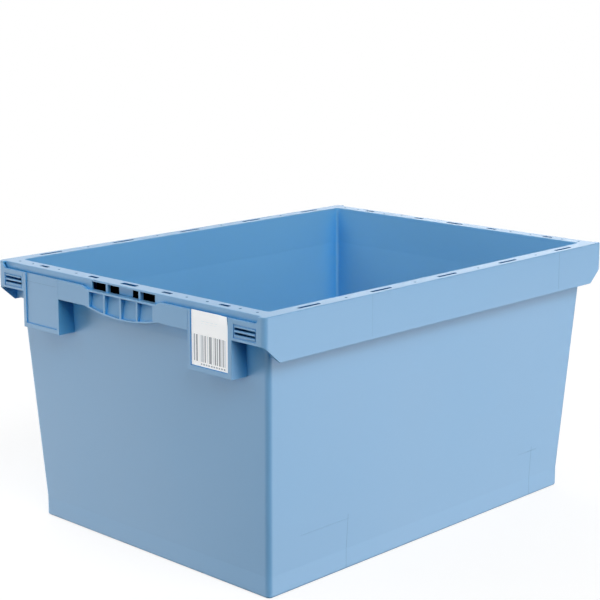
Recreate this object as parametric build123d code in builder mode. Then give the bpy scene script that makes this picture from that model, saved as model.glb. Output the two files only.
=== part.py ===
from build123d import *

import os

# Stacking and nesting plastic crate, 800 x 600 x 423 mm, injection moulded in polypropylene.
#
# Frame: origin on the floor under the middle of the crate, +X along the length, +Z up.
# The front end faces -X and carries the bar label; left is +Y and right is -Y, as seen by a
# person who stands at the front end and looks along +X. The crate is one moulding and one label.
# The moulding is divided where its features meet, and the sections touch face to face.

# ---- driving dimensions, mm ----
LENGTH = 800.0
WIDTH = 600.0
HEIGHT = 423.0
SKIN = 3.0  # wall of the rim, skirts and fittings
WALL = 3.2  # wall of the bin itself

# bin: a vertical foot, drafted walls, and a vertical neck under the rim
FOOT_HEIGHT = 32.0
NECK_HEIGHT = 357.0
FOOT_LENGTH = 701.0
FOOT_WIDTH = 514.4
NECK_LENGTH = 743.0
NECK_WIDTH = 557.2
BIN_CORNER_RADIUS = 8.0
BASE_EDGE_RADIUS = 4.0
FOOT_RING = 7.0  # width of the ring that the crate stands on
FLOOR_UNDERSIDE = 6.0
FLOOR_THICKNESS = 3.5
FOOT_POCKET_RADIUS = 1.0
CORNER_REACH = 5.0  # a corner post runs this far past its rounded edge at the foot

# rim and skirts
PLATE_UNDERSIDE = HEIGHT - SKIN
RIM_CORNER_RADIUS = 8.0
LONG_SKIRT_BOTTOM = 356.3
END_SKIRT_BOTTOM = 382.0
CHAMFER_START = 370.5  # |X| where the long skirt's lower corner starts to rise
LEDGE_TOP = 412.5
BAND_SETBACK = 6.0  # the upper band of each end stands back this far
BAND_HALF_WIDTH = 287.0
BAND_END_RADIUS = 8.0
SKIRT_SEAM = 285.0  # |Y| where the long skirts, turned round the corners, meet the end skirts
LIP_THICKNESS = 2.8  # the ledge's outer lip, in front of the channel
CHANNEL_DEPTH = 1.8  # the channel between the ledge's lip and the band
LEDGE_UNDERSIDE = LEDGE_TOP - CHANNEL_DEPTH - SKIN
TOP_EDGE_RADIUS = 1.2
LIP_EDGE_RADIUS = 0.8
INNER_CORNER_RADIUS = BIN_CORNER_RADIUS - WALL
OPENING_LENGTH = NECK_LENGTH - 2 * WALL
OPENING_WIDTH = NECK_WIDTH - 2 * WALL
RIM_SEAM = 270.0  # |Y| where the long rim rails meet the end rails

# end faces, measured from the middle of the end
END_FACE = LENGTH / 2
BAND_FACE = END_FACE - BAND_SETBACK
GRIP_HALF_WIDTH = 88.0
HOLDER_INNER = 146.8
HOLDER_OUTER = 235.2
HOLDER_BOTTOM = 325.5
HOLDER_BACK = NECK_LENGTH / 2 - 20.0  # |X| inside the drafted wall, where a holder's form ends
SEAT_INNER = HOLDER_INNER + 5.5
SEAT_OUTER = HOLDER_OUTER - 7.0
SEAT_BOTTOM = HOLDER_BOTTOM + 7.5
SEAT_FACE = END_FACE - 1.8  # |X| of the seat's back
LABEL_THICKNESS = 0.6
LABEL_MARGIN = 1.0
LABEL_TOP = LEDGE_TOP + 0.5
VENT_INNER = 240.5
VENT_OUTER = 281.5
VENT_BOTTOM = 387.6
VENT_TOP = 404.1
VENT_BAR = 3.3
VENT_BARS = 3
VENT_BAR_RADIUS = 1.2
VENT_SUNK = 1.2  # the skin round the bars is sunk by this much
VENT_MARGIN = 1.8  # and by this far beyond them

# grip
BAR_TOP = 407.5
BAR_THICKNESS = 2.8
STEP_RUN = 10.0  # the ledge drops to the grip bar over this run
POCKET_HALF_WIDTH = 72.0
POCKET_TOP = BAR_TOP - BAR_THICKNESS
POCKET_END_BOTTOM = 382.4
POCKET_DEPTH_TOP = 8.5
POCKET_DEPTH_BOTTOM = 3.0
POCKET_EDGE_RADIUS = 0.5
GRIP_DEPTH = 11.0
GRIP_LIP_BOTTOM = 371.5
GRIP_LIP_THICKNESS = 3.0
GRIP_LIP_HALF_WIDTH = 84.0
RIB = 4.0
RIB_SPACING = 37.0
WINDOW_HALF_WIDTH = 71.5
BOSS_SETBACK = 12.0
BOSS_HALF_WIDTH = 15.5
BOSS_TAPER = 2.0

# rim sockets for the lid and for stacking
LONG_SLOT_SPACING = 151.5
LONG_SLOT_COUNT = 5
LONG_SLOT_SIZE = (44.0, 6.0)
SLOT_CORNER_RADIUS = 1.5
LONG_SLOT_HOLES = (5.5, 15.0)  # two square holes, this far past the slot's middle
LONG_SLOT_HOLE = 4.4
RAIL_MIDDLE_Y = 289.0
RAIL_MIDDLE_X = 381.0
END_SLOTS = (-203.0, -83.0, 83.0, 203.0)
END_SLOT_SIZE = (7.0, 20.0)
END_SLOT_HOLE = (4.6, 11.0)
MIDDLE_SLOT_SIZE = (9.0, 34.0)
MIDDLE_SLOT_HOLE = (5.5, 15.0)
SLOT_DEPTH = 1.0
PIN_MARK_RADIUS = 2.2
PIN_MARK_DEPTH = 0.4
END_PIN_MARKS = (125.0, 167.5, 233.5, 267.0)

# stiffening under the rim and under the floor
GUSSET = 2.5
GUSSET_BOTTOM = 359.0
LONG_GUSSETS = (0.0, 76.0, 152.0, 228.0, 304.0, 366.0)
END_GUSSET_Y = 112.0
BASE_RIB = 3.0
BASE_RIB_BOTTOM = 1.5
BASE_RIB_SPACING = 76.0
BASE_RIBS_ACROSS = 9
BASE_RIBS_ALONG = 6

os.makedirs("parts", exist_ok=True)


def write_node(piece, node):
    """Label a finished piece and write it as its own STEP file."""
    piece.part.label = node
    export_step(piece.part, f"parts/{node}.step")


def box_between(low, high, mode=Mode.ADD):
    """A box from its lowest to its highest corner, in the current part."""
    middle = [(a + b) / 2 for a, b in zip(low, high)]
    size = [b - a for a, b in zip(low, high)]
    with Locations(tuple(middle)):
        Box(*size, mode=mode)


def section_of(casting, low, high):
    """The stretch of a casting that lies inside a box."""
    with BuildPart() as section:
        add(casting)
        box_between(low, high, mode=Mode.INTERSECT)
    return section


def mirrored(piece, plane):
    """The same piece on the other side of a plane."""
    with BuildPart() as other:
        mirror(piece.part, about=plane)
    return other


# ---- the bin: foot, drafted walls and neck as one envelope ----
def bin_envelope(inset, floor_level):
    """The bin's solid form, drawn in from the outside by inset and closed at floor_level."""
    radius = BIN_CORNER_RADIUS - inset
    with BuildPart() as envelope:
        with BuildSketch(Plane.XY.offset(floor_level)):
            RectangleRounded(FOOT_LENGTH - 2 * inset, FOOT_WIDTH - 2 * inset, radius)
        extrude(amount=FOOT_HEIGHT - floor_level)
        with BuildSketch(Plane.XY.offset(FOOT_HEIGHT)):
            RectangleRounded(FOOT_LENGTH - 2 * inset, FOOT_WIDTH - 2 * inset, radius)
        with BuildSketch(Plane.XY.offset(NECK_HEIGHT)):
            RectangleRounded(NECK_LENGTH - 2 * inset, NECK_WIDTH - 2 * inset, radius)
        loft(ruled=True)
        with BuildSketch(Plane.XY.offset(NECK_HEIGHT)):
            RectangleRounded(NECK_LENGTH - 2 * inset, NECK_WIDTH - 2 * inset, radius)
        extrude(amount=PLATE_UNDERSIDE - NECK_HEIGHT)
    return envelope


bin_outside = bin_envelope(0, 0)
bin_inside = bin_envelope(WALL, FLOOR_UNDERSIDE)

with BuildPart() as bin_walls:
    add(bin_outside.part)
    fillet(bin_walls.faces().sort_by(Axis.Z)[0].edges(), BASE_EDGE_RADIUS)
    add(bin_inside.part, mode=Mode.SUBTRACT)
    with BuildSketch():
        RectangleRounded(FOOT_LENGTH - 2 * FOOT_RING, FOOT_WIDTH - 2 * FOOT_RING, FOOT_POCKET_RADIUS)
    extrude(amount=FLOOR_UNDERSIDE, mode=Mode.SUBTRACT)

WALL_HALF_X = FOOT_LENGTH / 2 - BIN_CORNER_RADIUS - CORNER_REACH
WALL_HALF_Y = FOOT_WIDTH / 2 - BIN_CORNER_RADIUS - CORNER_REACH

front_wall = section_of(bin_walls.part, (-LENGTH, -WALL_HALF_Y, 0), (-WALL_HALF_X, WALL_HALF_Y, HEIGHT))
write_node(front_wall, "front_wall")
write_node(mirrored(front_wall, Plane.YZ), "rear_wall")

right_wall = section_of(bin_walls.part, (-WALL_HALF_X, -WIDTH, 0), (WALL_HALF_X, -WALL_HALF_Y, HEIGHT))
write_node(right_wall, "right_wall")
write_node(mirrored(right_wall, Plane.XZ), "left_wall")

front_right_corner = section_of(bin_walls.part, (-LENGTH, -WIDTH, 0), (-WALL_HALF_X, -WALL_HALF_Y, HEIGHT))
front_left_corner = mirrored(front_right_corner, Plane.XZ)
write_node(front_right_corner, "front_right_corner_post")
write_node(front_left_corner, "front_left_corner_post")
write_node(mirrored(front_right_corner, Plane.YZ), "rear_right_corner_post")
write_node(mirrored(front_left_corner, Plane.YZ), "rear_left_corner_post")


# ---- floor and the ribs under it, inside the foot ----
with BuildPart() as floor_panel:
    with BuildSketch(Plane.XY.offset(FLOOR_UNDERSIDE)):
        RectangleRounded(FOOT_LENGTH - 2 * WALL, FOOT_WIDTH - 2 * WALL, INNER_CORNER_RADIUS)
    extrude(amount=FLOOR_THICKNESS)
write_node(floor_panel, "floor_panel")

with BuildPart() as base_ribs:
    with BuildSketch(Plane.XY.offset(BASE_RIB_BOTTOM)):
        with GridLocations(BASE_RIB_SPACING, 0, BASE_RIBS_ACROSS, 1):
            Rectangle(BASE_RIB, FOOT_WIDTH - 2 * FOOT_RING)
        with GridLocations(0, BASE_RIB_SPACING, 1, BASE_RIBS_ALONG):
            Rectangle(FOOT_LENGTH - 2 * FOOT_RING, BASE_RIB)
    extrude(amount=FLOOR_UNDERSIDE - BASE_RIB_BOTTOM)
write_node(base_ribs, "base_ribs")


# ---- the rim with its skirts, as one casting that is cut into rails and skirts ----
with BuildPart() as rim_casting:
    with BuildSketch(Plane.XY.offset(LONG_SKIRT_BOTTOM)):
        RectangleRounded(LENGTH, WIDTH, RIM_CORNER_RADIUS)
    extrude(amount=HEIGHT - LONG_SKIRT_BOTTOM)
    # upper band of both ends, set back behind the ledge, with rounded lower ends, and the
    # channel that runs along the ledge between its lip and the band
    for side in (-1, 1):
        with BuildSketch(Plane.YZ.offset(side * END_FACE)) as band_recess:
            with Locations((0, LEDGE_TOP)):
                Rectangle(2 * BAND_HALF_WIDTH, HEIGHT - LEDGE_TOP, align=(Align.CENTER, Align.MIN))
            fillet(band_recess.vertices().group_by(Axis.Y)[0], BAND_END_RADIUS)
        extrude(amount=-side * BAND_SETBACK, mode=Mode.SUBTRACT)
    lip_edges = (
        rim_casting.faces().filter_by(Axis.X).sort_by(Axis.X)[0].edges()
        + rim_casting.faces().filter_by(Axis.X).sort_by(Axis.X)[-1].edges()
    ).filter_by_position(Axis.Y, -BAND_HALF_WIDTH, BAND_HALF_WIDTH)
    fillet(lip_edges.filter_by_position(Axis.Z, LEDGE_TOP, HEIGHT, (True, False)), LIP_EDGE_RADIUS)
    for side in (-1, 1):
        with BuildSketch(Plane.YZ.offset(side * (END_FACE - LIP_THICKNESS))) as channel:
            with Locations((0, LEDGE_TOP - CHANNEL_DEPTH)):
                Rectangle(
                    2 * (BAND_HALF_WIDTH + CHANNEL_DEPTH),
                    PLATE_UNDERSIDE - LEDGE_TOP + CHANNEL_DEPTH,
                    align=(Align.CENTER, Align.MIN),
                )
            fillet(channel.vertices().group_by(Axis.Y)[0], BAND_END_RADIUS)
        extrude(amount=-side * (BAND_SETBACK - LIP_THICKNESS), mode=Mode.SUBTRACT)
    # lower corners of the long skirts rise to the end skirts
    with BuildSketch(Plane.XZ) as skirt_rise:
        for side in (-1, 1):
            with BuildLine():
                Polyline(
                    (side * CHAMFER_START, LONG_SKIRT_BOTTOM),
                    (side * END_FACE, END_SKIRT_BOTTOM),
                    (side * END_FACE, LONG_SKIRT_BOTTOM),
                    close=True,
                )
            make_face()
    extrude(amount=WIDTH, both=True, mode=Mode.SUBTRACT)
    top_edges = rim_casting.faces().sort_by(Axis.Z)[-1].edges()
    fillet(top_edges, TOP_EDGE_RADIUS)
    # hollow underside: down to the skirts, then in to the set-back band, then the mouth
    with BuildSketch(Plane.XY.offset(LONG_SKIRT_BOTTOM)):
        RectangleRounded(LENGTH - 2 * SKIN, WIDTH - 2 * SKIN, RIM_CORNER_RADIUS - SKIN)
    extrude(amount=LEDGE_UNDERSIDE - LONG_SKIRT_BOTTOM, mode=Mode.SUBTRACT)
    with BuildSketch(Plane.XY.offset(LEDGE_UNDERSIDE)):
        Rectangle(2 * (BAND_FACE - SKIN), WIDTH - 2 * SKIN)
    extrude(amount=PLATE_UNDERSIDE - LEDGE_UNDERSIDE, mode=Mode.SUBTRACT)
    with BuildSketch(Plane.XY.offset(PLATE_UNDERSIDE)):
        RectangleRounded(OPENING_LENGTH, OPENING_WIDTH, INNER_CORNER_RADIUS)
    extrude(amount=SKIN, mode=Mode.SUBTRACT)
    for side in (-1, 1):
        box_between(
            (min(side * END_FACE, side * (END_FACE - 2 * SKIN)), -BAND_HALF_WIDTH, LONG_SKIRT_BOTTOM),
            (max(side * END_FACE, side * (END_FACE - 2 * SKIN)), BAND_HALF_WIDTH, END_SKIRT_BOTTOM),
            mode=Mode.SUBTRACT,
        )
    mouth_edges = (
        rim_casting.edges()
        .filter_by_position(Axis.X, -OPENING_LENGTH / 2, OPENING_LENGTH / 2)
        .filter_by_position(Axis.Y, -OPENING_WIDTH / 2, OPENING_WIDTH / 2)
        .group_by(Axis.Z)[-1]
    )
    fillet(mouth_edges, TOP_EDGE_RADIUS)
    # the long skirts' lower outer edges, dulled like every edge that a hand meets
    lower_edges = (
        rim_casting.faces().filter_by(Axis.Y).sort_by(Axis.Y)[0].edges().sort_by(Axis.Z)[:1]
        + rim_casting.faces().filter_by(Axis.Y).sort_by(Axis.Y)[-1].edges().sort_by(Axis.Z)[:1]
    )
    fillet(lower_edges, LIP_EDGE_RADIUS)


# ---- rim rails: the flat top with its sockets ----
with BuildPart() as right_rail:
    add(rim_casting.part)
    box_between((-LENGTH, -WIDTH, PLATE_UNDERSIDE), (LENGTH, -RIM_SEAM, HEIGHT), mode=Mode.INTERSECT)
    with BuildSketch(Plane.XY.offset(HEIGHT)):
        with Locations((0, -RAIL_MIDDLE_Y)):
            with GridLocations(LONG_SLOT_SPACING, 0, LONG_SLOT_COUNT, 1):
                RectangleRounded(*LONG_SLOT_SIZE, SLOT_CORNER_RADIUS)
    extrude(amount=-SLOT_DEPTH, mode=Mode.SUBTRACT)
    with BuildSketch(Plane.XY.offset(HEIGHT)):
        for offset_x in LONG_SLOT_HOLES:
            with Locations((offset_x, -RAIL_MIDDLE_Y)):
                with GridLocations(LONG_SLOT_SPACING, 0, LONG_SLOT_COUNT, 1):
                    Rectangle(LONG_SLOT_HOLE, LONG_SLOT_HOLE)
    extrude(amount=-SKIN, mode=Mode.SUBTRACT)
    with BuildSketch(Plane.XY.offset(HEIGHT)):
        with Locations((0, -RAIL_MIDDLE_Y)):
            with GridLocations(LONG_SLOT_SPACING, 0, LONG_SLOT_COUNT - 1, 1):
                Circle(PIN_MARK_RADIUS)
    extrude(amount=-PIN_MARK_DEPTH, mode=Mode.SUBTRACT)
write_node(right_rail, "right_rim_rail")
write_node(mirrored(right_rail, Plane.XZ), "left_rim_rail")

with BuildPart() as front_rail:
    add(rim_casting.part)
    box_between((-LENGTH, -RIM_SEAM, PLATE_UNDERSIDE), (0, RIM_SEAM, HEIGHT), mode=Mode.INTERSECT)
    with BuildSketch(Plane.XY.offset(HEIGHT)):
        with Locations(*[(-RAIL_MIDDLE_X, y) for y in END_SLOTS]):
            RectangleRounded(*END_SLOT_SIZE, SLOT_CORNER_RADIUS)
        with Locations((-RAIL_MIDDLE_X, 0)):
            RectangleRounded(*MIDDLE_SLOT_SIZE, SLOT_CORNER_RADIUS)
    extrude(amount=-SLOT_DEPTH, mode=Mode.SUBTRACT)
    with BuildSketch(Plane.XY.offset(HEIGHT)):
        with Locations(*[(-RAIL_MIDDLE_X, y) for y in END_SLOTS]):
            Rectangle(*END_SLOT_HOLE)
        with Locations((-RAIL_MIDDLE_X, 0)):
            Rectangle(*MIDDLE_SLOT_HOLE)
    extrude(amount=-SKIN, mode=Mode.SUBTRACT)
    with BuildSketch(Plane.XY.offset(HEIGHT)):
        with Locations(*[(-RAIL_MIDDLE_X, side * y) for y in END_PIN_MARKS for side in (-1, 1)]):
            Circle(PIN_MARK_RADIUS)
    extrude(amount=-PIN_MARK_DEPTH, mode=Mode.SUBTRACT)
write_node(front_rail, "front_rim_rail")
write_node(mirrored(front_rail, Plane.YZ), "rear_rim_rail")


# ---- long skirts, which turn round the rim's corners ----
right_skirt = section_of(
    rim_casting.part, (-LENGTH, -WIDTH, 0), (LENGTH, -SKIRT_SEAM, PLATE_UNDERSIDE)
)
write_node(right_skirt, "right_skirt")
write_node(mirrored(right_skirt, Plane.XZ), "left_skirt")


# ---- end skirts: one each side of the grip, with the ledge, the band and a barred vent ----
with BuildPart() as front_left_skirt:
    add(rim_casting.part)
    box_between(
        (-LENGTH, GRIP_HALF_WIDTH, 0), (-BAND_FACE + SKIN, SKIRT_SEAM, PLATE_UNDERSIDE), mode=Mode.INTERSECT
    )
    box_between((-END_FACE, HOLDER_INNER, 0), (-BAND_FACE, HOLDER_OUTER, LEDGE_TOP), mode=Mode.SUBTRACT)
    box_between((-END_FACE, VENT_INNER, VENT_BOTTOM), (-BAND_FACE, VENT_OUTER, VENT_TOP), mode=Mode.SUBTRACT)
    box_between(
        (-END_FACE, VENT_INNER - VENT_MARGIN, VENT_BOTTOM - VENT_MARGIN),
        (-END_FACE + VENT_SUNK, VENT_OUTER + VENT_MARGIN, VENT_TOP + VENT_MARGIN),
        mode=Mode.SUBTRACT,
    )

with BuildPart() as front_left_vent:
    vent_gap = (VENT_TOP - VENT_BOTTOM - VENT_BARS * VENT_BAR) / (VENT_BARS - 1)
    for row in range(VENT_BARS):
        bar_bottom = VENT_BOTTOM + row * (VENT_BAR + vent_gap)
        box_between(
            (-END_FACE, VENT_INNER, bar_bottom),
            (-END_FACE + SKIN, VENT_OUTER, bar_bottom + VENT_BAR),
        )
    fillet(front_left_vent.faces().filter_by_position(Axis.X, -END_FACE, -END_FACE).edges(), VENT_BAR_RADIUS)

front_right_skirt = mirrored(front_left_skirt, Plane.XZ)
front_right_vent = mirrored(front_left_vent, Plane.XZ)
write_node(front_left_skirt, "front_left_skirt")
write_node(front_right_skirt, "front_right_skirt")
write_node(mirrored(front_left_skirt, Plane.YZ), "rear_left_skirt")
write_node(mirrored(front_right_skirt, Plane.YZ), "rear_right_skirt")
write_node(front_left_vent, "front_left_vent_bars")
write_node(front_right_vent, "front_right_vent_bars")
write_node(mirrored(front_left_vent, Plane.YZ), "rear_left_vent_bars")
write_node(mirrored(front_right_vent, Plane.YZ), "rear_right_vent_bars")


# ---- label holders: a box standing on the end wall, with a shallow seat for a card ----
with BuildPart() as front_left_holder:
    box_between((-END_FACE, HOLDER_INNER, HOLDER_BOTTOM), (-HOLDER_BACK, HOLDER_OUTER, LEDGE_TOP))
    fillet(front_left_holder.faces().sort_by(Axis.X)[0].edges(), LIP_EDGE_RADIUS)
    box_between(
        (-END_FACE + SKIN, HOLDER_INNER + SKIN, HOLDER_BOTTOM + SKIN),
        (-HOLDER_BACK, HOLDER_OUTER - SKIN, LEDGE_UNDERSIDE),
        mode=Mode.SUBTRACT,
    )
    box_between(
        (-BAND_FACE, HOLDER_INNER, LEDGE_UNDERSIDE), (0, HOLDER_OUTER, LEDGE_TOP), mode=Mode.SUBTRACT
    )
    box_between(
        (-END_FACE + LIP_THICKNESS, HOLDER_INNER, LEDGE_TOP - CHANNEL_DEPTH),
        (-BAND_FACE, HOLDER_OUTER, LEDGE_TOP),
        mode=Mode.SUBTRACT,
    )
    box_between(
        (-END_FACE, SEAT_INNER, SEAT_BOTTOM), (-SEAT_FACE, SEAT_OUTER, LEDGE_TOP), mode=Mode.SUBTRACT
    )
    add(bin_outside.part, mode=Mode.SUBTRACT)

front_right_holder = mirrored(front_left_holder, Plane.XZ)
write_node(front_left_holder, "front_left_label_holder")
write_node(front_right_holder, "front_right_label_holder")
write_node(mirrored(front_left_holder, Plane.YZ), "rear_left_label_holder")
write_node(mirrored(front_right_holder, Plane.YZ), "rear_right_label_holder")

# ---- the bar label, a card in the seat of the front right holder ----
with BuildPart() as bar_label:
    box_between(
        (-SEAT_FACE - LABEL_THICKNESS, -SEAT_OUTER + LABEL_MARGIN, SEAT_BOTTOM + LABEL_MARGIN),
        (-SEAT_FACE, -SEAT_INNER - LABEL_MARGIN, LABEL_TOP),
    )
write_node(bar_label, "bar_label")


# ---- grips: a bowed lip, a bar, and four ribbed pockets in each end skirt ----
def bowed_edge(half_width, end_height, middle_height):
    """An arc across the end face, lowest at the middle."""
    return ThreePointArc((half_width, end_height), (0, middle_height), (-half_width, end_height))


# the pockets' backs lean forward towards the lip, and ribs stand between them
with BuildPart() as grip_pockets:
    with BuildSketch(Plane.YZ.offset(-END_FACE)):
        with BuildLine():
            bowed_edge(POCKET_HALF_WIDTH, POCKET_END_BOTTOM, GRIP_LIP_BOTTOM + GRIP_LIP_THICKNESS)
            Polyline(
                (-POCKET_HALF_WIDTH, POCKET_END_BOTTOM),
                (-POCKET_HALF_WIDTH, POCKET_TOP),
                (POCKET_HALF_WIDTH, POCKET_TOP),
                (POCKET_HALF_WIDTH, POCKET_END_BOTTOM),
            )
        make_face()
        with Locations(*[(y, POCKET_TOP) for y in (-RIB_SPACING, 0, RIB_SPACING)]):
            Rectangle(RIB, 2 * (POCKET_TOP - GRIP_LIP_BOTTOM), mode=Mode.SUBTRACT)
    extrude(amount=POCKET_DEPTH_TOP)
    with BuildSketch(Plane.XZ):
        with BuildLine():
            Polyline(
                (-END_FACE, POCKET_TOP),
                (-END_FACE + POCKET_DEPTH_TOP, POCKET_TOP),
                (-END_FACE + POCKET_DEPTH_BOTTOM, GRIP_LIP_BOTTOM),
                (-END_FACE, GRIP_LIP_BOTTOM),
                close=True,
            )
        make_face()
    extrude(amount=POCKET_HALF_WIDTH, both=True, mode=Mode.INTERSECT)

with BuildPart() as front_grip:
    with BuildSketch(Plane.YZ.offset(-END_FACE)):
        with BuildLine():
            bowed_edge(GRIP_LIP_HALF_WIDTH, END_SKIRT_BOTTOM, GRIP_LIP_BOTTOM)
            Polyline(
                (-GRIP_LIP_HALF_WIDTH, END_SKIRT_BOTTOM),
                (-GRIP_HALF_WIDTH, END_SKIRT_BOTTOM),
                (-GRIP_HALF_WIDTH, LEDGE_TOP),
                (-GRIP_HALF_WIDTH + STEP_RUN, BAR_TOP),
                (GRIP_HALF_WIDTH - STEP_RUN, BAR_TOP),
                (GRIP_HALF_WIDTH, LEDGE_TOP),
                (GRIP_HALF_WIDTH, END_SKIRT_BOTTOM),
                (GRIP_LIP_HALF_WIDTH, END_SKIRT_BOTTOM),
            )
        make_face()
    extrude(amount=GRIP_DEPTH)
    outline = front_grip.faces().sort_by(Axis.X)[0].edges()
    outline = outline.filter_by_position(Axis.Y, -GRIP_HALF_WIDTH, GRIP_HALF_WIDTH, (False, False))
    fillet(outline, LIP_EDGE_RADIUS)
    for side in (-1, 1):
        with Locations((-BAND_FACE, side * GRIP_HALF_WIDTH, LEDGE_TOP)):
            Box(
                BAND_SETBACK - LIP_THICKNESS,
                2 * STEP_RUN,
                2 * CHANNEL_DEPTH,
                align=(Align.MAX, Align.CENTER, Align.CENTER),
                mode=Mode.SUBTRACT,
            )
    add(grip_pockets.part, mode=Mode.SUBTRACT)
    pocket_edges = front_grip.faces().filter_by(Axis.X).sort_by(Axis.X)[0].inner_wires().edges()
    fillet(pocket_edges, POCKET_EDGE_RADIUS)
write_node(front_grip, "front_grip")
write_node(mirrored(front_grip, Plane.YZ), "rear_grip")

# ---- window posts: the set-back band beside and between the four windows over the grip bar ----
with BuildPart() as front_window_posts:
    for side in (-1, 1):
        with Locations((-BAND_FACE, side * RIB_SPACING, PLATE_UNDERSIDE)):
            Box(BAND_SETBACK, RIB, PLATE_UNDERSIDE - BAR_TOP, align=(Align.MIN, Align.CENTER, Align.MAX))
        with Locations((-BAND_FACE, side * (WINDOW_HALF_WIDTH + GRIP_HALF_WIDTH) / 2, PLATE_UNDERSIDE)):
            Box(
                SKIN,
                GRIP_HALF_WIDTH - WINDOW_HALF_WIDTH,
                PLATE_UNDERSIDE - BAR_TOP,
                align=(Align.MIN, Align.CENTER, Align.MAX),
            )
    add(front_grip.part, mode=Mode.SUBTRACT)
write_node(front_window_posts, "front_window_posts")
write_node(mirrored(front_window_posts, Plane.YZ), "rear_window_posts")

# ---- centre boss: a tapered block on the end wall, seen between the windows ----
with BuildPart() as front_boss:
    with BuildSketch(Plane.YZ.offset(-END_FACE + BOSS_SETBACK)):
        with Locations((0, PLATE_UNDERSIDE)):
            Trapezoid(
                2 * BOSS_HALF_WIDTH,
                PLATE_UNDERSIDE - BAR_TOP,
                90 - BOSS_TAPER,
                rotation=180,
                align=(Align.CENTER, Align.MIN),
            )
    extrude(amount=END_FACE - BOSS_SETBACK - NECK_LENGTH / 2)
write_node(front_boss, "front_centre_boss")
write_node(mirrored(front_boss, Plane.YZ), "rear_centre_boss")


# ---- gussets: plates that tie the bin to the skirts, under the rim ----
with BuildPart() as right_gussets:
    for middle_x in sorted({side * x for x in LONG_GUSSETS for side in (-1, 1)}):
        box_between(
            (middle_x - GUSSET / 2, -WIDTH / 2 + SKIN, GUSSET_BOTTOM),
            (middle_x + GUSSET / 2, -NECK_WIDTH / 2 + BIN_CORNER_RADIUS, PLATE_UNDERSIDE),
        )
    add(bin_outside.part, mode=Mode.SUBTRACT)
write_node(right_gussets, "right_rim_gussets")
write_node(mirrored(right_gussets, Plane.XZ), "left_rim_gussets")

with BuildPart() as front_gussets:
    for middle_y in (-END_GUSSET_Y, END_GUSSET_Y):
        box_between(
            (-END_FACE + SKIN, middle_y - GUSSET / 2, END_SKIRT_BOTTOM + SKIN),
            (-NECK_LENGTH / 2, middle_y + GUSSET / 2, LEDGE_UNDERSIDE),
        )
        box_between(
            (-BAND_FACE + SKIN, middle_y - GUSSET / 2, LEDGE_UNDERSIDE),
            (-NECK_LENGTH / 2, middle_y + GUSSET / 2, PLATE_UNDERSIDE),
        )
write_node(front_gussets, "front_rim_gussets")
write_node(mirrored(front_gussets, Plane.YZ), "rear_rim_gussets")
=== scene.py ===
import math

import bpy
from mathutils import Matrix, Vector


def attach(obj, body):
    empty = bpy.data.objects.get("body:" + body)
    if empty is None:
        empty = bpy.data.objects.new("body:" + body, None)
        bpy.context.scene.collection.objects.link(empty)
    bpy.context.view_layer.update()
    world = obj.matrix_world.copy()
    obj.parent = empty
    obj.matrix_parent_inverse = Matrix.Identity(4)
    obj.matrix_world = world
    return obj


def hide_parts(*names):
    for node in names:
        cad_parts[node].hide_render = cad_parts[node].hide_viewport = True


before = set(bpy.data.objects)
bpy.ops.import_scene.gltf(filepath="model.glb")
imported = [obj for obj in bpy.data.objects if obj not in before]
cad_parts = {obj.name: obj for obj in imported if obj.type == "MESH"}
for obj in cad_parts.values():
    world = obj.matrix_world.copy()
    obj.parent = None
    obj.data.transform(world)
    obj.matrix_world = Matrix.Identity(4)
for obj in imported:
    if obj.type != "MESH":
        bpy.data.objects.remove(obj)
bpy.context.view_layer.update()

bpy.ops.object.select_all(action="DESELECT")

# ---- Bin: end walls, side walls, corner posts, floor and base ribs ----
# The body of the one-piece crate, injection moulded in coloured polypropylene. Its tool was
# spark eroded, which leaves a fine dull grain, and the tool's loose inserts leave faint
# witness lines low on the side wall.
BIN_NODES = [
    "front_wall", "rear_wall", "left_wall", "right_wall",
    "front_left_corner_post", "front_right_corner_post",
    "rear_left_corner_post", "rear_right_corner_post",
    "floor_panel", "base_ribs",
]
PIGMENT = "#6A9FCA"           # pigeon blue masterbatch
PIGMENT_PALE = "#6FA5D0"      # where the melt ran thin and cooled first
LINE_PAINTED_SHADE = "#4F86B4"      # painted shade at the foot of a witness line
PP_IOR = 1.49
PP_GLOSS = 1.0                # specular level
INSIDE_BOUNCE_TINT = (0.95, 1.13, 1.12, 1.0)  # painted light: faces turned inwards are tinted a deeper blue for the light that bounces about inside the bin
NOOK_REACH = 0.09             # metres within which a nook is given painted shade
NOOK_SAMPLES = 6
NOOK_SHADE_TINTS = [                # openness, and the painted tint of shade and of light that has bounced about in there
    (0.16, (0.02, 0.30, 0.42, 1.0)),
    (0.36, (0.04, 0.75, 1.2, 1.0)),
    (0.54, (0.35, 0.98, 1.15, 1.0)),
    (0.70, (1.0, 1.0, 1.0, 1.0)),
]
ROUGHNESS_SWING = 0.04
WALL_ROUGHNESS = 0.5
# each pattern is metres across one patch, detail and roughness
FLOW = (0.22, 2.0, 0.45)      # flow shading of the melt
SPARKS = (0.0011, 2.0, 0.6)   # real grain is about 0.2 mm; drawn coarser so that it shows
HOLLOWS = (0.16, 1.0, 0.4)    # shallow hollows of a large moulded wall
SPARK_DEPTH = 0.00002
HOLLOW_DEPTH = 0.0005
LINE_DEPTH = 0.0002
LINE_SHADE = 0.9              # how far a witness line takes the painted shade
SOCKET_SHADE = "#0A4A80"              # painted shade: the dark colour put in the depth of a socket, where light hardly reaches
SOCKET_SHADE_BOXES = [                     # middle and half size of the rim's sockets and pin marks, which get the painted shade
    ((0.0, -0.2885, 0.4212), (0.36, 0.0085, 0.0016)),
    ((0.0, 0.2885, 0.4212), (0.36, 0.0085, 0.0016)),
    ((-0.3815, 0.0, 0.4212), (0.0095, 0.27, 0.0016)),
    ((0.3815, 0.0, 0.4212), (0.0095, 0.27, 0.0016)),
]
WINDOW_SHADE = "#000101"       # painted shade: the near black put behind a window, where the cavity is in shade
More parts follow.
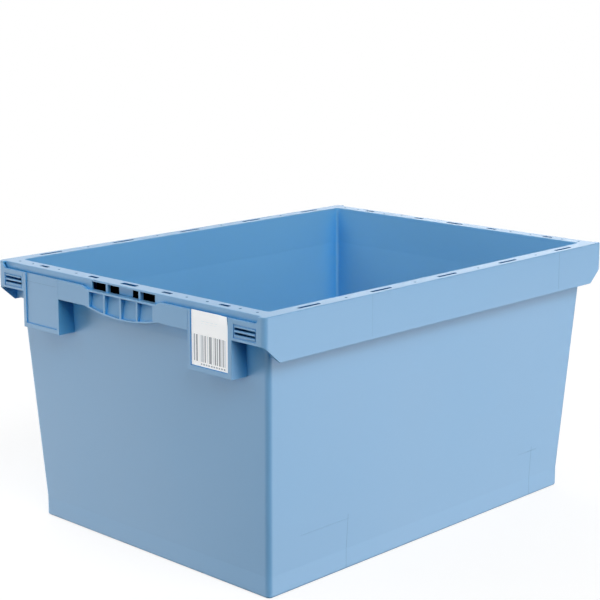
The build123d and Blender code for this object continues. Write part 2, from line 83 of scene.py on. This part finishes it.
WINDOW_SHADE_BOXES = [              # middle and half size of the space behind each grip's windows, which gets the painted shade
    ((-0.37875, 0.0, 0.4076), (0.00875, 0.0875, 0.0126)),
    ((0.37875, 0.0, 0.4076), (0.00875, 0.0875, 0.0126)),
]
LINE = 0.0005                 # half the width of a witness line
FAINT_LINE = 0.0002           # and of one that is nearly closed
WALL_LINES = [                # middle and half size of each, on the outside of the right wall
    ((-0.189, -0.275, 0.0445), (LINE, 0.02, 0.0425)),
    ((0.268, -0.275, 0.0445), (LINE, 0.02, 0.0425)),
    ((-0.2385, -0.275, 0.080), (0.0515, 0.02, FAINT_LINE)),
    ((0.2565, -0.275, 0.080), (0.0265, 0.02, FAINT_LINE)),
]


def linear(hex_colour):
    """An sRGB hex colour as linear RGBA."""
    channels = [int(hex_colour[place:place + 2], 16) / 255 for place in (1, 3, 5)]
    return [c / 12.92 if c <= 0.04045 else ((c + 0.055) / 1.055) ** 2.4 for c in channels] + [1.0]


def add_node(tree, kind, settings=None, links=None):
    """A shader node with its properties and input values set, and its inputs linked."""
    node = tree.nodes.new(kind)
    for name, value in (settings or {}).items():
        if isinstance(name, str) and hasattr(node, name):
            setattr(node, name, value)
        else:
            node.inputs[name].default_value = value
    for name, source in (links or {}).items():
        tree.links.new(source, node.inputs[name])
    return node


def new_material(name):
    """An empty node material and its tree."""
    material = bpy.data.materials.new(name)
    material.use_nodes = True
    material.node_tree.nodes.clear()
    return material, material.node_tree


def noise(tree, place, pattern):
    """The height of a noise pattern, given as metres across one patch, detail and roughness."""
    patch, detail, roughness = pattern
    texture = add_node(
        tree, "ShaderNodeTexNoise",
        {"Scale": 1 / patch, "Detail": detail, "Roughness": roughness}, {"Vector": place},
    )
    return texture.outputs["Fac"]


def mix_colour(tree, factor, first, second, blend="MIX"):
    """Two colours mixed; each input is a value or another node's output."""
    node = add_node(tree, "ShaderNodeMix", {"data_type": "RGBA", "blend_type": blend})
    colour_sockets = [socket for socket in node.inputs if socket.type == "RGBA"]
    for socket, value in zip([node.inputs[0]] + colour_sockets, (factor, first, second)):
        if isinstance(value, bpy.types.NodeSocket):
            tree.links.new(value, socket)
        else:
            socket.default_value = value
    return next(socket for socket in node.outputs if socket.type == "RGBA")


def paint(nodes, material):
    """Give CAD nodes one material."""
    for node in nodes:
        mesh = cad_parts[node].data
        mesh.materials.clear()
        mesh.materials.append(material)


def inside_box(tree, place, middle, half_size):
    """1 inside a box in the material's space and 0 outside it."""
    shift = add_node(
        tree, "ShaderNodeVectorMath", {"operation": "SUBTRACT", 1: middle}, {0: place}
    )
    reach = add_node(
        tree, "ShaderNodeVectorMath", {"operation": "ABSOLUTE"}, {0: shift.outputs["Vector"]}
    )
    excess = add_node(
        tree, "ShaderNodeVectorMath", {"operation": "SUBTRACT", 1: half_size},
        {0: reach.outputs["Vector"]},
    )
    axes = add_node(tree, "ShaderNodeSeparateXYZ", {}, {"Vector": excess.outputs["Vector"]})
    flat = add_node(
        tree, "ShaderNodeMath", {"operation": "MAXIMUM"}, {0: axes.outputs["X"], 1: axes.outputs["Y"]}
    )
    solid = add_node(
        tree, "ShaderNodeMath", {"operation": "MAXIMUM"},
        {0: flat.outputs["Value"], 1: axes.outputs["Z"]},
    )
    mask = add_node(
        tree, "ShaderNodeMath", {"operation": "LESS_THAN", 1: 0.0}, {0: solid.outputs["Value"]}
    )
    return mask.outputs["Value"]


def either(tree, masks):
    """1 where any of the masks is 1."""
    total = masks[0]
    for mask in masks[1:]:
        total = add_node(
            tree, "ShaderNodeMath", {"operation": "MAXIMUM"}, {0: total, 1: mask}
        ).outputs["Value"]
    return total


def polypropylene(name, roughness, lines, nook_reach=NOOK_REACH):
    """Moulded polypropylene. It scatters light softly under a dull, slightly uneven skin, and
    lines are the middles and half sizes of the places where a tool joint shows. Its colour
    also carries painted shade in nooks, in the rim's sockets, behind the grip windows and
    along the tool joints, and painted bounce light on faces turned inwards."""
    material, tree = new_material(name)
    place = add_node(tree, "ShaderNodeTexCoord").outputs["Object"]
    flow = noise(tree, place, FLOW)
    shade = mix_colour(tree, flow, linear(PIGMENT), linear(PIGMENT_PALE))
    skin = add_node(
        tree, "ShaderNodeMapRange",
        {"To Min": roughness - ROUGHNESS_SWING, "To Max": roughness + ROUGHNESS_SWING},
        {"Value": flow},
    )
    hollows = add_node(
        tree, "ShaderNodeBump", {"Strength": 1.0, "Distance": HOLLOW_DEPTH},
        {"Height": noise(tree, place, HOLLOWS)},
    )
    sparks = add_node(
        tree, "ShaderNodeBump", {"Strength": 1.0, "Distance": SPARK_DEPTH},
        {"Height": noise(tree, place, SPARKS), "Normal": hollows.outputs["Normal"]},
    )
    nook = add_node(
        tree, "ShaderNodeAmbientOcclusion", {"samples": NOOK_SAMPLES, "Distance": nook_reach}
    )
    facing = add_node(
        tree, "ShaderNodeVectorMath", {"operation": "DOT_PRODUCT"},
        {0: place, 1: add_node(tree, "ShaderNodeNewGeometry").outputs["Normal"]},
    )
    inward = add_node(
        tree, "ShaderNodeMath", {"operation": "LESS_THAN", 1: 0.0}, {0: facing.outputs["Value"]}
    )
    # painted light: faces turned inwards take a deeper blue, standing in for light bounced about inside
    # the bin
    shade = mix_colour(tree, inward.outputs["Value"], shade, INSIDE_BOUNCE_TINT, "MULTIPLY")
    # painted shade: the colour is darkened and tinted navy in nooks, according to how open each point
    # is
    nook_painted_shade = add_node(tree, "ShaderNodeValToRGB", {}, {"Fac": nook.outputs["AO"]})
    stops = nook_painted_shade.color_ramp.elements
    stops.remove(stops[1])
    stops[0].position, stops[0].color = NOOK_SHADE_TINTS[0]
    for openness, colour in NOOK_SHADE_TINTS[1:]:
        stops.new(openness).color = colour
    shade = mix_colour(tree, 1.0, shade, nook_painted_shade.outputs["Color"], "MULTIPLY")
    socket_shade_mask = either(tree, [inside_box(tree, place, *well) for well in SOCKET_SHADE_BOXES])
    window_shade_mask = either(tree, [inside_box(tree, place, *well) for well in WINDOW_SHADE_BOXES])
    # painted shade: the depths of the rim's sockets and pin marks are coloured dark
    shade = mix_colour(tree, socket_shade_mask, shade, linear(SOCKET_SHADE))
    # painted shade: the space behind the grip windows is coloured near black
    shade = mix_colour(tree, window_shade_mask, shade, linear(WINDOW_SHADE))
    # the painted shade in the sockets and behind the windows also has its specular taken away
    gloss = add_node(
        tree, "ShaderNodeMapRange", {"To Min": PP_GLOSS, "To Max": 0.0},
        {"Value": either(tree, [socket_shade_mask, window_shade_mask])},
    )
    line_mask = either(tree, [inside_box(tree, place, *line) for line in lines])
    tint = add_node(
        tree, "ShaderNodeMath", {"operation": "MULTIPLY", 1: LINE_SHADE}, {0: line_mask}
    )
    # partly real and partly painted: the lines are a real small bump, and their darker colour is
    # painted shade
    shade = mix_colour(tree, tint.outputs["Value"], shade, linear(LINE_PAINTED_SHADE))
    ridges = add_node(
        tree, "ShaderNodeBump", {"Strength": 1.0, "Distance": LINE_DEPTH},
        {"Height": line_mask, "Normal": sparks.outputs["Normal"]},
    )
    surface = add_node(
        tree, "ShaderNodeBsdfPrincipled",
        {"IOR": PP_IOR},
        {
            "Base Color": shade,
            "Specular IOR Level": gloss.outputs["Result"],
            "Roughness": skin.outputs["Result"],
            "Normal": ridges.outputs["Normal"],
        },
    )
    add_node(tree, "ShaderNodeOutputMaterial", {}, {"Surface": surface.outputs["BSDF"]})
    return material


# spark grained polypropylene of the large walls
paint(BIN_NODES, polypropylene("moulded polypropylene, spark grained wall", WALL_ROUGHNESS, WALL_LINES))

# ---- Rim: flat top rails, long skirts and the gussets under them ----
# The top rails and the skirts that turn down from them, in the same shot of polypropylene.
# The long skirts are formed by side slides, and each slide's joint leaves an upright line.
RIM_NODES = [
    "front_rim_rail", "rear_rim_rail", "left_rim_rail", "right_rim_rail",
    "left_skirt", "right_skirt",
    "front_left_skirt", "front_right_skirt", "rear_left_skirt", "rear_right_skirt",
    "front_rim_gussets", "rear_rim_gussets", "left_rim_gussets", "right_rim_gussets",
]
RIM_ROUGHNESS = 0.48
RIM_REACH = 0.03
SKIRT_LINES = [
    ((-0.183, -0.299, 0.391), (FAINT_LINE, 0.003, 0.03)),
    ((0.278, -0.299, 0.391), (LINE, 0.003, 0.03)),
    ((-0.183, 0.299, 0.391), (FAINT_LINE, 0.003, 0.03)),
    ((0.278, 0.299, 0.391), (LINE, 0.003, 0.03)),
]
# the same polypropylene, rubbed a little smoother by hands and by stacking
paint(
    RIM_NODES,
    polypropylene("moulded polypropylene, rim and skirts", RIM_ROUGHNESS, SKIRT_LINES, RIM_REACH),
)

# ---- End fittings: grips, vents, label holders, window posts and bosses ----
# Hand grips with their pockets, barred vents and card holders, cored out of the end skirts by
# the same moulding tool. The cores' faces are polished a little more than the walls.
FITTING_NODES = [
    "front_grip", "rear_grip",
    "front_left_vent_bars", "front_right_vent_bars", "rear_left_vent_bars", "rear_right_vent_bars",
    "front_window_posts", "rear_window_posts",
]
FITTING_REACH = 0.012
HOLDER_NODES = [
    "front_left_label_holder", "front_right_label_holder",
    "rear_left_label_holder", "rear_right_label_holder",
]
BOSS_NODES = ["front_centre_boss", "rear_centre_boss"]
BOSS_REACH = 0.004            # the bosses stand forward, where light from the windows reaches
FITTING_ROUGHNESS = 0.46
CORE_LINES = [                # a core's joint, across the front left holder
    ((-0.399, 0.191, 0.3995), (0.003, 0.038, 0.0003)),
]
# polypropylene against a finer tool face
paint(
    FITTING_NODES,
    polypropylene("moulded polypropylene, grip and vent", FITTING_ROUGHNESS, CORE_LINES, FITTING_REACH),
)
# the same face on the holders' deep boxes
paint(HOLDER_NODES, polypropylene("moulded polypropylene, label holder", FITTING_ROUGHNESS, CORE_LINES))
# the same face on the bosses between the windows
paint(
    BOSS_NODES,
    polypropylene("moulded polypropylene, centre boss", FITTING_ROUGHNESS, CORE_LINES, BOSS_REACH),
)

# ---- Bar label ----
# A card in the seat of the front right holder: matt white paper, cut to the seat, with a
# printed bar pattern, a row of small marks under it, and one top corner that lifts a little.
CARD_FACE = -0.3986           # x of the card's printed face
CARD_THICKNESS = 0.0004
CARD_NEAR = -0.1533           # y of the edge nearest the grip
CARD_FAR = -0.2272
CARD_BOTTOM = 0.334
CARD_TOP = 0.413
CARD_CELLS = 24
CORNER_LIFT = 0.0022
CORNER_REACH = 0.022
CORNER_PICK = 0.001
CARD_ROUGHNESS = 0.42
CARD_IOR = 1.45
PAINTED_GLOW = 0.11             # painted light: the card gives off a faint glow of its own colour, so that it reads brighter
FIBRE = (1 / 900, 3.0, 0.6)   # metres across one clump of fibres, detail and roughness
FIBRE_DEPTH = 0.00002
PAPER = "#F6F9FB"
PAPER_PALE = "#FCFEFF"
INK_DARK = "#70767D"
INK_MID = "#A6ACB2"
INK_LIGHT = "#CDD3D8"
INK_FAINT = "#E4E9EC"
BARS = [                      # where each bar starts and ends across the card, and its ink
    (0.06, 0.095, INK_MID), (0.13, 0.165, INK_DARK), (0.21, 0.225, INK_FAINT),
    (0.25, 0.31, INK_LIGHT), (0.31, 0.33, INK_MID), (0.36, 0.39, INK_DARK),
    (0.43, 0.455, INK_LIGHT), (0.49, 0.515, INK_DARK), (0.515, 0.56, INK_MID),
    (0.59, 0.61, INK_LIGHT), (0.64, 0.665, INK_DARK), (0.69, 0.73, INK_MID),
    (0.76, 0.79, INK_DARK), (0.80, 0.83, INK_LIGHT), (0.85, 0.885, INK_MID),
    (0.90, 0.93, INK_LIGHT),
]
MARK_START, MARK_STEP, MARK_WIDTH, MARK_COUNT = 0.25, 0.07, 0.045, 10
NOTE_START, NOTE_STEP, NOTE_WIDTH, NOTE_COUNT = 0.26, 0.12, 0.10, 4


def even_marks(start, step, width, count, ink):
    """Equal marks at equal steps across the card."""
    return [(start + step * turn, start + width + step * turn, ink) for turn in range(count)]


MARKS = even_marks(MARK_START, MARK_STEP, MARK_WIDTH, MARK_COUNT, INK_MID)
NOTES = even_marks(NOTE_START, NOTE_STEP, NOTE_WIDTH, NOTE_COUNT, INK_FAINT)
PRINT_ROWS = [                # bottom and top of each printed row, and its print
    (0.3405, 0.3790, BARS),
    (0.3362, 0.3386, MARKS),
    (0.3985, 0.3998, NOTES),
    (0.3950, 0.3960, NOTES),
]

bpy.ops.object.select_all(action="DESELECT")
bpy.ops.mesh.primitive_grid_add(
    x_subdivisions=CARD_CELLS, y_subdivisions=CARD_CELLS, size=1.0,
    location=(CARD_FACE, (CARD_NEAR + CARD_FAR) / 2, (CARD_BOTTOM + CARD_TOP) / 2),
    rotation=(math.pi / 2, 0, -math.pi / 2),
)
card = bpy.context.object
card.name = "bar_label_card"
card.scale = (CARD_NEAR - CARD_FAR, CARD_TOP - CARD_BOTTOM, 1.0)
bpy.ops.object.transform_apply(location=True, rotation=True, scale=True)
for vertex in card.data.vertices:
    corner_gap = max(vertex.co.y - CARD_FAR, CARD_TOP - vertex.co.z)
    vertex.select = corner_gap < CORNER_PICK
for edge in card.data.edges:
    edge.select = False
for face in card.data.polygons:
    face.select = False
bpy.ops.object.mode_set(mode="EDIT")
bpy.ops.transform.translate(
    value=(-CORNER_LIFT, 0, 0), use_proportional_edit=True,
    proportional_edit_falloff="SMOOTH", proportional_size=CORNER_REACH,
)
bpy.ops.object.mode_set(mode="OBJECT")
thickness = card.modifiers.new("card", "SOLIDIFY")
thickness.thickness = CARD_THICKNESS
thickness.offset = -1.0
bpy.ops.object.modifier_apply(modifier=thickness.name)


def printed_row(tree, across, height, row):
    """The colour of one printed row over white paper, and the mask of the row's height."""
    bottom, top, print_bars = row
    ramp = add_node(tree, "ShaderNodeValToRGB", {}, {"Fac": across})
    ramp.color_ramp.interpolation = "CONSTANT"
    stops = ramp.color_ramp.elements
    stops[0].color = linear(PAPER)
    stops.remove(stops[1])
    for index, (start, end, ink) in enumerate(print_bars):
        stops.new(start).color = linear(ink)
        next_start = print_bars[index + 1][0] if index + 1 < len(print_bars) else 1.0
        if next_start > end:
            stops.new(end).color = linear(PAPER)
    above = add_node(tree, "ShaderNodeMath", {"operation": "GREATER_THAN", 1: bottom}, {0: height})
    below = add_node(tree, "ShaderNodeMath", {"operation": "LESS_THAN", 1: top}, {0: height})
    mask = add_node(
        tree, "ShaderNodeMath", {"operation": "MULTIPLY"},
        {0: above.outputs["Value"], 1: below.outputs["Value"]},
    )
    return ramp.outputs["Color"], mask.outputs["Value"]


# matt coated paper with grey and black print
label_material, tree = new_material("printed paper label")
place = add_node(tree, "ShaderNodeTexCoord").outputs["Object"]
axes = add_node(tree, "ShaderNodeSeparateXYZ", {}, {"Vector": place})
across = add_node(
    tree, "ShaderNodeMapRange", {"From Min": CARD_NEAR, "From Max": CARD_FAR},
    {"Value": axes.outputs["Y"]},
)
fibre = noise(tree, place, FIBRE)
card_colour = mix_colour(tree, fibre, linear(PAPER), linear(PAPER_PALE))
for row in PRINT_ROWS:
    row_colour, row_mask = printed_row(tree, across.outputs["Result"], axes.outputs["Z"], row)
    card_colour = mix_colour(tree, row_mask, card_colour, row_colour)
tooth = add_node(tree, "ShaderNodeBump", {"Strength": 1.0, "Distance": FIBRE_DEPTH}, {"Height": fibre})
# painted light: the emission makes the card glow faintly in its own colour
surface = add_node(
    tree, "ShaderNodeBsdfPrincipled",
    {"Roughness": CARD_ROUGHNESS, "IOR": CARD_IOR, "Emission Strength": PAINTED_GLOW},
    {"Base Color": card_colour, "Emission Color": card_colour, "Normal": tooth.outputs["Normal"]},
)
add_node(tree, "ShaderNodeOutputMaterial", {}, {"Surface": surface.outputs["BSDF"]})
card.data.materials.append(label_material)
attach(card, "root")
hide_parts("bar_label")

# ---- Studio ----
# A white sweep lit evenly from below, so that the crate stands on near-white with only a
# faint shadow at its foot, a white surround, and round softboxes on every side.
FLOOR_SIZE = 160.0
FLOOR_DROP = 0.0005
FLOOR_PAINT = "#888888"
FLOOR_GLOW = 0.80
FLOOR_NEAR = 0.7              # metres from the middle out to which the floor takes shadows
FLOOR_FAR = 2.4               # and where it has become an even glow
SURROUND_RADIUS = 45.0
SURROUND_SEGMENTS = 48
SURROUND_RINGS = 24
SURROUND_PAINT = "#000000"
SURROUND_GLOW = 1.0
ROOM_PAINT = "#FFFFFF"
ROOM_GLOW = 0.01


def glowing_white(name, paint_colour, glow):
    """Matt white that also gives off its own even light, and nothing but light far out."""
    material, tree = new_material(name)
    matt = add_node(tree, "ShaderNodeBsdfDiffuse", {"Color": linear(paint_colour)})
    light = add_node(tree, "ShaderNodeEmission", {"Strength": glow})
    both = add_node(
        tree, "ShaderNodeAddShader", {}, {0: matt.outputs["BSDF"], 1: light.outputs["Emission"]}
    )
    place = add_node(tree, "ShaderNodeTexCoord").outputs["Object"]
    distance = add_node(tree, "ShaderNodeVectorMath", {"operation": "LENGTH"}, {0: place})
    far = add_node(
        tree, "ShaderNodeMapRange",
        {"interpolation_type": "SMOOTHSTEP", "From Min": FLOOR_NEAR, "From Max": FLOOR_FAR},
        {"Value": distance.outputs["Value"]},
    )
    even = add_node(tree, "ShaderNodeEmission", {"Strength": SURROUND_GLOW})
    faded = add_node(
        tree, "ShaderNodeMixShader", {},
        {0: far.outputs["Result"], 1: both.outputs["Shader"], 2: even.outputs["Emission"]},
    )
    add_node(tree, "ShaderNodeOutputMaterial", {}, {"Surface": faded.outputs["Shader"]})
    return material


def set_stage(piece, name, material):
    """Name a piece of the studio and keep its own light off the crate."""
    piece.name = name
    piece.data.materials.append(material)
    piece.visible_diffuse = False
    piece.visible_glossy = False
    piece.visible_shadow = False


bpy.ops.mesh.primitive_plane_add(size=FLOOR_SIZE, location=(0, 0, -FLOOR_DROP))
set_stage(
    bpy.context.object, "studio_floor",
    glowing_white("matt white studio floor, lit from below", FLOOR_PAINT, FLOOR_GLOW),
)
bpy.ops.mesh.primitive_uv_sphere_add(
    segments=SURROUND_SEGMENTS, ring_count=SURROUND_RINGS, radius=SURROUND_RADIUS
)
bpy.ops.object.mode_set(mode="EDIT")
bpy.ops.mesh.select_all(action="SELECT")
bpy.ops.mesh.flip_normals()
bpy.ops.object.mode_set(mode="OBJECT")
set_stage(
    bpy.context.object, "studio_surround",
    glowing_white("white studio surround, lit from behind", SURROUND_PAINT, SURROUND_GLOW),
)

scene = bpy.context.scene
scene.view_settings.view_transform = "Standard"
world = bpy.data.worlds.new("dim_room")
world.use_nodes = True
scene.world = world
room = world.node_tree.nodes["Background"]
room.inputs["Color"].default_value = linear(ROOM_PAINT)
room.inputs["Strength"].default_value = ROOM_GLOW

SOFTBOX_AIM = Vector((0, 0, 0.25))
SOFTBOX_DISTANCE = 12.0
SOFTBOX_HALF_ANGLE = 15       # degrees, as seen from the crate
SOFTBOX_RADIUS = SOFTBOX_DISTANCE * math.tan(math.radians(SOFTBOX_HALF_ANGLE))
# elevation and azimuth in degrees, azimuth counter-clockwise from +X, and radiance
SOFTBOXES = [
    (40, 270, 5.25), (10, 30, 4.87), (40, 240, 4.75), (10, 180, 4.60), (-20, 120, 3.80),
    (-20, 300, 4.00), (40, 90, 3.20), (-20, 90, 2.70), (10, 60, 2.42), (-20, 330, 2.90),
    (40, 150, 2.26), (40, 60, 1.73), (10, 270, 1.64), (10, 90, 1.50), (10, 300, 1.06),
]
for elevation, azimuth, radiance in SOFTBOXES:
    rise = math.radians(elevation)
    turn = math.radians(azimuth)
    direction = Vector((
        math.cos(rise) * math.cos(turn), math.cos(rise) * math.sin(turn), math.sin(rise),
    ))
    bpy.ops.object.light_add(type="AREA", location=SOFTBOX_AIM + SOFTBOX_DISTANCE * direction)
    softbox = bpy.context.object
    softbox.name = f"softbox_{elevation}_{azimuth}"
    softbox.data.shape = "DISK"
    softbox.data.size = 2 * SOFTBOX_RADIUS
    softbox.data.energy = radiance * math.pi * math.pi * SOFTBOX_RADIUS ** 2
    softbox.rotation_euler = (-direction).to_track_quat("-Z", "Y").to_euler()
    softbox.visible_camera = False

# ---- Camera ----
# A short telephoto 0.9 m above the floor, off the front right corner, level from side to side.
CAMERA_PLACE = (-1.8595, -1.7704, 0.8947)
CAMERA_AZIMUTH = math.radians(46.085)
CAMERA_PITCH = math.radians(9.699)
CAMERA_LENS = 95.765
CAMERA_SENSOR = 36.0
CAMERA_SHIFT = -0.115
bpy.ops.object.camera_add(
    location=CAMERA_PLACE, rotation=(math.pi / 2 - CAMERA_PITCH, 0, -CAMERA_AZIMUTH)
)
camera = bpy.context.object
camera.data.lens = CAMERA_LENS
camera.data.sensor_width = CAMERA_SENSOR
camera.data.shift_y = CAMERA_SHIFT
camera.data.clip_end = 2 * FLOOR_SIZE
scene.camera = camera
